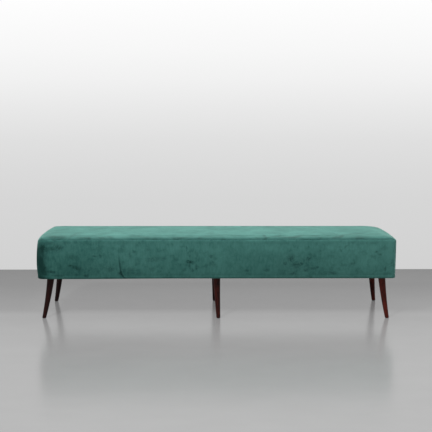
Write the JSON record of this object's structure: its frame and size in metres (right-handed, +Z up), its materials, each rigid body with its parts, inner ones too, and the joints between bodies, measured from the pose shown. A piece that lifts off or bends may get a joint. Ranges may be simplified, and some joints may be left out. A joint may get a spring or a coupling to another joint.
{
  "type": "bench",
  "caption": "Long backless bench with a boxed, fully upholstered velvet seat on slender tapered sabre legs set in pairs at the ends and the middle.",
  "frame": {"origin": "on the floor under the middle of the seat, at the centre of the bounding box's bottom", "axes": "+X along the seat to the right of someone facing its front, -Y to the front, +Z up"},
  "size_m": [2, 0.46, 0.464],
  "materials": {
    "velvet": "short cut pile, petrol green, brushed marks",
    "wadding": "soft fibre wadding",
    "foam": "open-cell upholstery foam",
    "hessian": "plain woven hessian",
    "webbing": "woven jute webbing",
    "blued_steel": "blued cut tacks",
    "zinc_steel": "zinc plated",
    "frame_wood": "planed beech, unfinished",
    "dowel_wood": "fluted beech dowel",
    "leg_wood": "turned, dark mahogany stain, gloss lacquer",
    "glide_plastic": "moulded nylon",
    "dust_cloth": "thin non-woven black cloth"
  },
  "bodies": {
    "root": {"cover_top": "velvet", "cover_front": "velvet", "cover_rear": "velvet", "cover_left_end": "velvet", "cover_right_end": "velvet", "wadding_wrap": "wadding", "seat_foam": "foam", "front_padding": "foam", "rear_padding": "foam", "left_end_padding": "foam", "right_end_padding": "foam", "hessian_sheet": "hessian", "cross_webbing": "webbing", "long_webbing": "webbing", "webbing_tacks": "blued_steel", "front_rail": "frame_wood", "rear_rail": "frame_wood", "left_end_rail": "frame_wood", "right_end_rail": "frame_wood", "left_cross_member": "frame_wood", "centre_cross_member": "frame_wood", "right_cross_member": "frame_wood", "rail_dowels": "dowel_wood", "cross_member_dowels": "dowel_wood", "front_left_leg_block": "frame_wood", "front_centre_leg_block": "frame_wood", "front_right_leg_block": "frame_wood", "rear_left_leg_block": "frame_wood", "rear_centre_leg_block": "frame_wood", "rear_right_leg_block": "frame_wood", "block_screws": "zinc_steel", "hanger_bolts": "zinc_steel", "tee_nuts": "zinc_steel", "front_left_leg": "leg_wood", "front_centre_leg": "leg_wood", "front_right_leg": "leg_wood", "rear_left_leg": "leg_wood", "rear_centre_leg": "leg_wood", "rear_right_leg": "leg_wood", "foot_glides": "glide_plastic", "glide_nails": "zinc_steel", "dust_cover": "dust_cloth", "cover_staples": "zinc_steel", "dust_cover_staples": "zinc_steel"}
  },
  "joints": []
}
